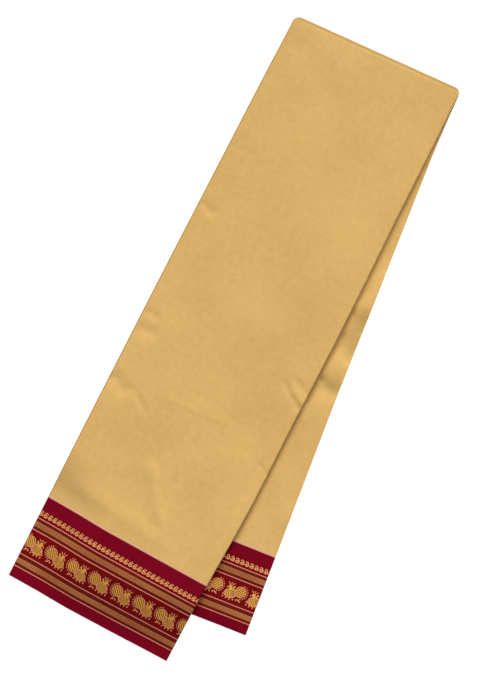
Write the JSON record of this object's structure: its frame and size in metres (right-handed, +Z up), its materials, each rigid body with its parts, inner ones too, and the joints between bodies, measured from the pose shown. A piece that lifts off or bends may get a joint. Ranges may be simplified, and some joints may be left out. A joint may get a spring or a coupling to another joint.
{
  "type": "folded silk sari",
  "caption": "Silk sari folded to a long flat strip and once across, its two flaps fanned, with a woven motif border at each end.",
  "frame": {"origin": "on the floor under the middle of the whole object's box", "axes": "+Y along the upper flap from its woven border to the fold, +X to the side the lower flap fans out to, +Z up"},
  "size_m": [0.2308, 0.6144, 0.0149],
  "materials": {
    "body_silk": "fine plain-woven gold-beige silk with a soft sheen",
    "border_silk": "maroon silk with gold thread bands and woven bird motifs",
    "inner_layers": "the same silk seen at the folds and ends of the hidden layers"
  },
  "bodies": {
    "root": {"front_body": "body_silk", "front_border": "border_silk", "under_body": "body_silk", "under_border": "border_silk", "hidden_layers": "inner_layers"}
  },
  "joints": []
}
